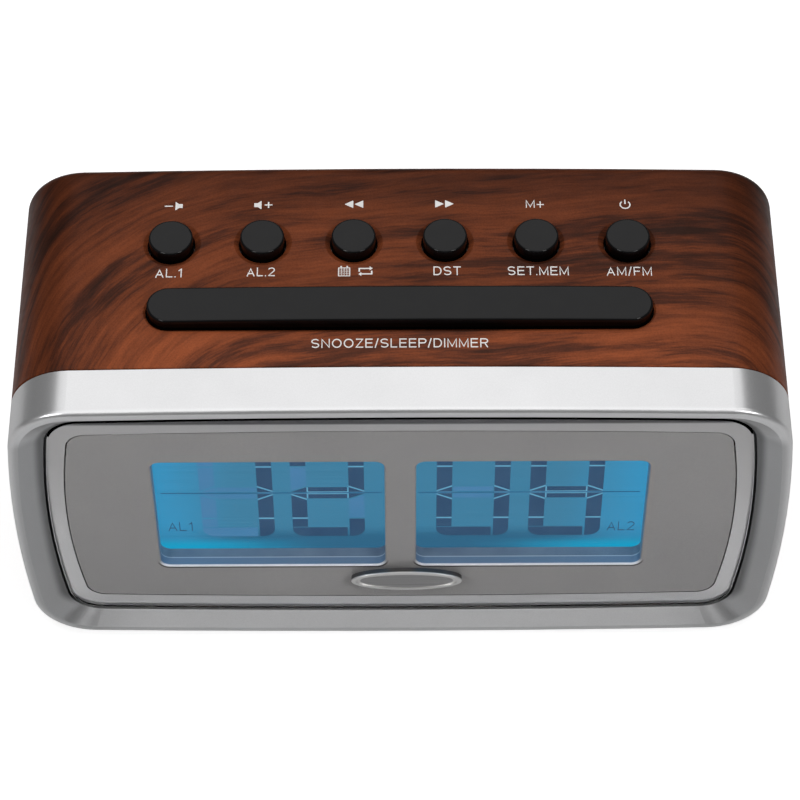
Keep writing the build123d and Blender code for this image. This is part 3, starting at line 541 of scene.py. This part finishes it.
def letter(char, thick):
    """Width and strokes of a plain capital one unit tall. A stroke is its middle line and if it closes."""
    low, high = thick / 2, 1 - thick / 2
    bowl = (1 - thick) / 4
    upper, lower = high - bowl, low + bowl
    bend = ellipse((0.48, upper), (0.3, bowl), 90, -90)
    letters = {
        "A": (0.92, [[(0.06, 0), (0.46, 1 - thick * 1.15), (0.86, 0)], [(0.24, 0.32), (0.68, 0.32)]]),
        "D": (0.88, None),
        "E": (0.78, [[(0.78, low), (low, low), (low, high), (0.77, high)], [(thick, 0.52), (0.72, 0.52)]]),
        "F": (0.74, [[(low, 0), (low, high), (0.74, high)], [(thick, 0.5), (0.66, 0.5)]]),
        "I": (thick, [[(low, 0), (low, 1)]]),
        "L": (0.70, [[(low, 1), (low, low), (0.7, low)]]),
        "M": (1.0, [[(low, 0), (low, 1 - low), (0.5, thick), (1 - low, 1 - low), (1 - low, 0)]]),
        "N": (0.88, [[(low, 0), (low, 1 - low), (0.88 - low, low), (0.88 - low, 1)]]),
        "O": (1.02, None),
        "P": (0.78, [[(low, 0), (low, high), *bend, (thick, upper - bowl)]]),
        "R": (0.84, [[(low, 0), (low, high), *bend, (thick, upper - bowl)], [(0.5, 0.5 - low), (0.78, 0)]]),
        "S": (0.84, [
            ellipse((0.42, upper), (0.42 - low, bowl), 25, 270)
            + ellipse((0.42, lower), (0.42 - low, bowl), 90, -155)[1:]
        ]),
        "T": (0.82, [[(0, high), (0.82, high)], [(0.41, 0), (0.41, 1 - thick)]]),
        "Z": (0.80, [[(0.03, high), (0.74, high), (0.06, low), (0.8, low)]]),
        "1": (0.42, [[(0.36, 0), (0.36, 1)], [(0.08, 0.74), (0.36 - low, 0.88)]]),
        "2": (0.76, [[*ellipse((0.38, upper), (0.38 - low, bowl), 165, -35), (low, low), (0.76, low)]]),
        "/": (0.36, [[(0.02, -0.02), (0.34, 1.02)]]),
        ".": (thick, [[(0, low), (thick, low)]]),
        "+": (0.80, [
            [(0, 0.42), (0.8, 0.42)], [(0.4, 0.42 + low), (0.4, 0.82)], [(0.4, 0.02), (0.4, 0.42 - low)],
        ]),
    }
    width, lines = letters[char]
    if char == "O":
        return width, [(ellipse((0.51, 0.5), (0.51 - low, 0.5 - low), 0, 340, 34), True)]
    if char == "D":
        round_side = ellipse((0.42, 0.5), (0.46 - low, 0.5 - low), -90, 90, 18)
        return width, [([(low, low), *round_side, (low, high)], True)]
    return width, [(line, False) for line in lines]


def add_bar(form, points, closed, thick, height):
    """Adds a flat bar along a line to a bmesh: mitred at its bends, square at its ends."""
    line = [Vector(p) for p in points]
    count = len(line)
    rings = []
    for index, here in enumerate(line):
        before = line[index - 1] if closed or index > 0 else None
        after = line[(index + 1) % count] if closed or index < count - 1 else None
        runs = [(a, b) for a, b in ((before, here), (here, after)) if a is not None and b is not None]
        turns = [(b - a).normalized() for a, b in runs]
        sides = [Vector((-turn.y, turn.x)) for turn in turns]
        side = (sides[0] + sides[-1]).normalized()
        reach = min(1 / max(side.dot(sides[0]), 0.2), 1.7) * thick / 2
        near, far = here + side * reach, here - side * reach
        corners = ((near, 0), (far, 0), (far, height), (near, height))
        rings.append([form.verts.new((corner.x, corner.y, z)) for corner, z in corners])
    pairs = list(zip(rings, rings[1:])) + ([(rings[-1], rings[0])] if closed else [])
    for ring, following in pairs:
        for index in range(4):
            other = (index + 1) % 4
            form.faces.new((ring[index], ring[other], following[other], following[index]))
    if not closed:
        form.faces.new(rings[0])
        form.faces.new(rings[-1][::-1])


def text_mesh(name, text, width, height, tall, thick=0.12, space=0.22):
    """Mesh of plain capitals, width wide and tall high, centred on the origin."""
    form = bmesh.new()
    left = 0.0
    for char in text:
        advance, lines = letter(char, thick)
        for index, (points, closed) in enumerate(lines):
            shifted = [(x + left, y) for x, y in points]
            add_bar(form, shifted, closed, thick, height * (1 - 0.06 * index))
        left += advance + space
    mesh = bpy.data.meshes.new(name)
    form.to_mesh(mesh)
    form.free()
    right = left - space
    for vertex in mesh.vertices:
        vertex.co.x = (vertex.co.x / right - 0.5) * width
        vertex.co.y = (vertex.co.y - 0.5) * tall
    return mesh


def meshed(name, curve, height):
    """Turns a flat curve into a closed mesh that stands on Z = 0."""
    source = bpy.data.objects.new(name, curve)
    bpy.context.scene.collection.objects.link(source)
    graph = bpy.context.evaluated_depsgraph_get()
    mesh = bpy.data.meshes.new_from_object(source.evaluated_get(graph))
    bpy.data.objects.remove(source)
    form = bmesh.new()
    form.from_mesh(mesh)
    bmesh.ops.remove_doubles(form, verts=form.verts, dist=1e-7)
    bmesh.ops.translate(form, verts=form.verts, vec=(0, 0, height / 2))
    form.to_mesh(mesh)
    form.free()
    return mesh


def joined(name, meshes, material, body=case):
    """One piece from several meshes, riding on a body, finished in the given material."""
    form = bmesh.new()
    for mesh in meshes:
        form.from_mesh(mesh)
    bmesh.ops.recalc_face_normals(form, faces=form.faces)
    whole = bpy.data.meshes.new(name)
    form.to_mesh(whole)
    form.free()
    whole.materials.append(material)
    piece = bpy.data.objects.new(name, whole)
    bpy.context.scene.collection.objects.link(piece)
    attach(piece, body)
    return piece


def on_top(mesh, x, y):
    """Moves a flat mesh to a place on the crowned top, bedding it into the surface a little."""
    for vertex in mesh.vertices:
        place_x = vertex.co.x + x
        surface = top_z - (crown_radius - math.sqrt(crown_radius**2 - place_x**2))
        vertex.co = (place_x, vertex.co.y + y, surface - print_root + vertex.co.z)
    return mesh


def on_display(mesh, x, z):
    """Stands a flat mesh up on the display's front, facing the viewer."""
    for vertex in mesh.vertices:
        vertex.co = (vertex.co.x + x, display_y - vertex.co.z, vertex.co.y + z)
    return mesh


def box_loop(x_low, x_high, y_low, y_high):
    return [(x_low, y_low), (x_high, y_low), (x_high, y_high), (x_low, y_high)]


def rounded(points, radius, steps=4):
    """A polygon with its corners rounded."""
    result = []
    for index, point in enumerate(points):
        before = Vector(points[index - 1])
        after = Vector(points[(index + 1) % len(points)])
        corner = Vector(point)
        to_before = (before - corner).normalized()
        to_after = (after - corner).normalized()
        start = corner + to_before * radius
        end = corner + to_after * radius
        for step in range(steps + 1):
            t = step / steps
            mid = start * (1 - t) ** 2 + corner * 2 * t * (1 - t) + end * t**2
            result.append((mid.x, mid.y))
    return result


def scaled(loops):
    """Loops drawn in millimetres, in metres."""
    return [[(x * MM, y * MM) for x, y in loop] for loop in loops]


# ---- the icons, drawn in millimetres about their own centres ----
def plus_icon(x):
    arm, half = 0.92, 0.16
    return [[
        (x - arm, -half), (x - half, -half), (x - half, -arm), (x + half, -arm),
        (x + half, -half), (x + arm, -half), (x + arm, half), (x + half, half),
        (x + half, arm), (x - half, arm), (x - half, half), (x - arm, half),
    ]]


def speaker_icon(x, flare):
    """Small loudspeaker: a box and a horn that flares toward flare, 1 for right and -1 for left."""
    outline = [(-0.85, -0.6), (0.0, -0.6), (0.85, -1.3), (0.85, 1.3), (0.0, 0.6), (-0.85, 0.6)]
    return [rounded([(x + flare * px, py) for px, py in outline], 0.12)]


def arrow_pair(side):
    """Two solid triangles that point to one side."""
    loops = []
    for offset in (-1.16, 1.16):
        outline = [(-1.0 * side + offset, -1.15), (1.05 * side + offset, 0.0), (-1.0 * side + offset, 1.15)]
        loops.append(rounded(outline, 0.22))
    return loops


def power_icon():
    """Ring open at the top, with a bar in the gap."""
    outer = ellipse((0, -0.1), (1.3, 1.3), 130, 410, 28)
    inner = ellipse((0, -0.1), (0.98, 0.98), 410, 130, 28)
    return [outer + inner, box_loop(-0.16, 0.16, 0.1, 1.45)]


def calendar_icon(x):
    """Page with a header, two rings and a grid of square holes."""
    loops = [rounded(box_loop(x - 1.4, x + 1.4, -1.5, 1.1), 0.15)]
    for column in range(4):
        for row in range(4):
            left = x - 1.16 + column * 0.61
            low = -1.27 + row * 0.56
            loops.append(box_loop(left, left + 0.49, low, low + 0.45))
    for ring in (-0.7, 0.7):
        loops.append(box_loop(x + ring - 0.18, x + ring + 0.18, 1.15, 1.55))
    return loops


def repeat_icon(x):
    """Flat loop of two bars whose ends turn into arrow heads."""
    thick = 0.34
    upper = [
        (x - 1.6, -0.15), (x - 1.6 + thick, -0.15), (x - 1.6 + thick, 0.95 - thick), (x + 0.95, 0.95 - thick),
        (x + 0.95, 0.25), (x + 1.65, 0.8), (x + 0.95, 1.4), (x + 0.95, 0.95), (x - 1.6, 0.95),
    ]
    lower = [(2 * x - px, -py - 0.05) for px, py in upper]
    return [upper, lower]


def print_legends(ink):
    """White print on the top: icons behind the buttons and words in front of them."""
    icons = {
        "volume_down": [box_loop(-2.0, -0.1, -0.15, 0.15), *speaker_icon(1.35, -1)],
        "volume_up": [*speaker_icon(-1.35, 1), *plus_icon(1.15)],
        "tune_down": arrow_pair(-1),
        "tune_up": arrow_pair(1),
        "power": power_icon(),
    }
    names = ["volume_down", "volume_up", "tune_down", "tune_up", "memory", "power"]
    # each word, how wide it is and how far it stands to the right of its button, in millimetres
    words = {
        "volume_down": ("AL.1", 6.1, -0.3),
        "volume_up": ("AL.2", 6.5, -0.2),
        "tune_up": ("DST", 6.3, 0.4),
        "memory": ("SET.MEM", 14.0, 0.2),
        "power": ("AM/FM", 10.4, 0.0),
    }
    for name, x in zip(names, button_x):
        if name in icons:
            icon = flat_mesh(name, scaled(icons[name]), print_height + print_root)
        else:
            icon = text_mesh(name, "M+", 4.2 * MM, print_height + print_root, 2.4 * MM)
        joined(f"icon_{name}", [on_top(icon, x, icon_row)], ink)
        if name in words:
            text, width, shift = words[name]
            label = text_mesh(name, text, width * MM, print_height + print_root, cap_height)
        else:
            shift = 0.3
            loops = scaled([*calendar_icon(-2.45), *repeat_icon(2.45)])
            label = flat_mesh(name, loops, print_height + print_root)
        joined(f"label_{name}", [on_top(label, x + shift * MM, label_row)], ink)
    label = text_mesh("snooze", "SNOOZE/SLEEP/DIMMER", 39.9 * MM, print_height + print_root, cap_height)
    joined("label_snooze", [on_top(label, 0.0, snooze_row)], ink)


# ---- the display's windows and segments, in millimetres about the middle of the display ----
window_half_width = 26.9
window_half_height = 21.05
window_centre_x = 30.55
window_corner = 2.3
digit_width = 17.2
stroke = 3.65
split = 1.76
digit_low = -16.1
digit_high = 19.8
low_block = -8.6
high_block = 12.25
slit = 0.3
tip_gap = 0.34
tip_length = 2.3
slant_outer = 0.9
slant_inner = 2.9
bar_gap = 0.55
bar_reach = 2.25
bottom_thick = 3.6
line_half = 0.17


def column_parts(inner, outer):
    """Column of a digit as named outlines, between its inner and outer X."""
    above, below, foot = high_block + slit, high_block - slit, low_block + slit
    return {
        "top": [(inner, above), (outer, above), (outer, digit_high), (inner, digit_high)],
        "upper": [(inner, below), (outer, below), (outer, split + slant_outer), (inner, split + slant_inner)],
        "upper_tip": [(inner, split + tip_gap), (inner, split + tip_length), (outer, split + tip_gap)],
        "lower_tip": [(inner, split - tip_gap), (inner, split - tip_length), (outer, split - tip_gap)],
        "lower": [(inner, foot), (outer, foot), (outer, split - slant_outer), (inner, split - slant_inner)],
    }


def digit_parts(left):
    """All the parts of one digit whose left edge is at this X."""
    right = left + digit_width
    corner = 3.0
    bar_top = digit_low + bottom_thick
    parts = {f"left_{key}": loop for key, loop in column_parts(left + stroke, left).items()}
    parts.update({f"right_{key}": loop for key, loop in column_parts(right - stroke, right).items()})
    parts["left_foot"] = box_loop(left, left + stroke, bar_top + 0.25, low_block - slit)
    bar_end = right - stroke - slit * 1.6
    parts["bottom"] = [
        *ellipse((left + corner, digit_low + corner), (corner, corner), 180, 270, 8),
        (bar_end, digit_low), (bar_end, bar_top), (left, bar_top),
    ]
    parts["right_foot"] = [
        (right - stroke, digit_low),
        *ellipse((right - corner, digit_low + corner), (corner, corner), 270, 360, 8),
        (right, low_block - slit), (right - stroke, low_block - slit),
    ]
    bar_x = (left + stroke + 0.35, right - stroke - 0.35)
    parts["middle_upper"] = box_loop(*bar_x, split + bar_gap, split + bar_reach)
    parts["middle_lower"] = box_loop(*bar_x, split - bar_reach, split - bar_gap)
    return parts


def halo_loops(figure, left):
    """Pale outlines that show through the slits between a digit's lit parts."""
    right = left + digit_width
    low = low_block - 1.0
    loops = []
    if figure in ("zero", "eight"):
        loops.append(box_loop(left + 0.05, left + stroke, low, digit_high))
    if figure == "two":
        loops.append(box_loop(left + 0.05, left + stroke, low, split))
    upper_low = split if figure == "two" else low
    loops.append(box_loop(right - stroke, right - 0.05, upper_low, digit_high))
    if figure in ("two", "eight"):
        loops.append(box_loop(left + stroke + 0.02, right - stroke - 0.02, split - 2.2, split + 2.2))
    return loops


LEFT_COLUMN = {"left_top", "left_upper", "left_lower", "left_foot"}
RIGHT_COLUMN = {"right_top", "right_upper", "right_lower", "right_foot"}
TIPS = {"left_upper_tip", "left_lower_tip", "right_upper_tip", "right_lower_tip"}
MIDDLE = {"middle_upper", "middle_lower"}
LIT = {
    "one": RIGHT_COLUMN | {"right_upper_tip", "right_lower_tip"},
    "two": TIPS | MIDDLE | (LEFT_COLUMN - {"left_upper"}) | (RIGHT_COLUMN - {"right_lower"}) | {"bottom"},
    "zero": LEFT_COLUMN | RIGHT_COLUMN | TIPS | {"bottom"},
    "eight": LEFT_COLUMN | RIGHT_COLUMN | TIPS | MIDDLE | {"bottom"},
}


def build_display():
    """The four digits, their unlit parts, the split lines and the two alarm marks."""
    ink = display_ink("segment_ink", srgb(44, 74, 106), srgb(50, 82, 114))
    ghost = display_ink("segment_ghost", srgb(66, 124, 166), srgb(74, 128, 172))
    halo = display_ink("segment_halo", srgb(92, 158, 192), srgb(104, 168, 200))
    places = {"hours_tens": ("one", -47.2), "hours_units": ("two", -25.7)}
    places.update({"minutes_tens": ("zero", 8.5), "minutes_units": ("eight", 30.4)})
    for name, (figure, left) in places.items():
        parts = digit_parts(left)
        for state, material in (("lit", ink), ("unlit", ghost)):
            height = segment_height if state == "lit" else segment_height / 2
            wanted = sorted(key for key in parts if (key in LIT[figure]) == (state == "lit"))
            chosen = [parts[key] for key in wanted]
            if chosen:
                mesh = flat_mesh(name, scaled(chosen), height)
                joined(f"{name}_{state}", [on_display(mesh, 0, middle_z)], material)
        gaps = [flat_mesh(name, scaled([loop]), segment_height / 4) for loop in halo_loops(figure, left)]
        joined(f"{name}_gaps", [on_display(mesh, 0, middle_z) for mesh in gaps], halo)
    ends = ((-56.4, -4.3), (4.3, 56.4))
    lines = [box_loop(low, high, split - line_half, split + line_half) for low, high in ends]
    mesh = flat_mesh("split", scaled(lines), segment_height * 1.25)
    line_ink = display_ink("split_ink", srgb(36, 92, 132), srgb(42, 98, 138))
    joined("split_line", [on_display(mesh, 0, middle_z)], line_ink)
    marks = (("AL1", -52.55, -11.9, 5.9), ("AL2", 52.55, -12.4, 6.6))
    for text, x, height, width in marks:
        mesh = text_mesh(text, text, width * MM, segment_height, 3.7 * MM, 0.09, 0.2)
        joined(f"mark_{text}", [on_display(mesh, x * MM, middle_z + height * MM)], ink)


# ---- the studio ----
def area_light(name, place, target, size, power):
    """Rectangular lamp that faces a target, its size in metres and its power in watts."""
    light = bpy.data.lights.new(name, "AREA")
    light.shape = "RECTANGLE"
    light.size, light.size_y = size
    light.energy = power
    lamp = bpy.data.objects.new(name, light)
    lamp.location = place
    lamp.rotation_euler = (Vector(target) - Vector(place)).to_track_quat("-Z", "Y").to_euler()
    bpy.context.scene.collection.objects.link(lamp)


def build_floor():
    """Pale sweep. It shows white to the camera, and returns a softer grey to the radio."""
    shade = Shade("floor_paper")
    tone = shade.noise(60.0)
    shade.set(Base_Color=shade.ramp(tone, (0.3, (0.66, 0.66, 0.66, 1)), (0.7, (0.7, 0.7, 0.7, 1))))
    seen = shade.add("LightPath", out="Is Camera Ray")
    shade.set(Emission_Color=(1.0, 1.0, 1.0, 1.0), Emission_Strength=shade.math("MULTIPLY", seen, 0.66))
    shade.set(Roughness=0.9, Specular_IOR_Level=0.1)
    form = bmesh.new()
    bmesh.ops.create_grid(form, x_segments=1, y_segments=1, size=3.0)
    mesh = bpy.data.meshes.new("floor")
    form.to_mesh(mesh)
    form.free()
    mesh.materials.append(shade.material)
    ground = bpy.data.objects.new("floor", mesh)
    bpy.context.scene.collection.objects.link(ground)


def build_studio():
    """A long ceiling panel, two keys from the front corners, a dim room and the camera."""
    scene = bpy.context.scene
    scene.view_settings.view_transform = "Standard"
    world = bpy.data.worlds.new("studio")
    world.use_nodes = True
    world.node_tree.nodes["Background"].inputs["Color"].default_value = (1.0, 1.0, 1.0, 1.0)
    world.node_tree.nodes["Background"].inputs["Strength"].default_value = room_light
    scene.world = world
    target = (0.0, 0.0, middle_z)
    area_light("ceiling", (0.0, 0.3, 1.25), (0.0, 0.3, 0.0), (1.3, 2.0), 10.0)
    area_light("key_left", (-0.8, -0.85, 1.1), target, (0.4, 0.4), 5.0)
    area_light("key_right", (0.8, -0.85, 1.1), target, (0.4, 0.4), 5.0)
    camera = bpy.data.cameras.new("camera")
    camera.sensor_width = 36.0
    camera.lens = camera_lens
    camera.clip_start, camera.clip_end = 0.01, 20.0
    viewer = bpy.data.objects.new("camera", camera)
    viewer.location = camera_place
    pitch = Matrix.Rotation(math.radians(camera_pitch), 3, "X")
    aim = pitch @ Matrix.Rotation(math.radians(camera_roll), 3, "Z")
    viewer.rotation_euler = aim.to_euler()
    scene.collection.objects.link(viewer)
    scene.camera = viewer


legend_ink = moulded("legend_ink", srgb(226, 224, 222), srgb(244, 243, 241), grain=0.1, bump=0.05)
dress_nodes(finishes())
print_legends(legend_ink)
build_display()
build_floor()
build_studio()
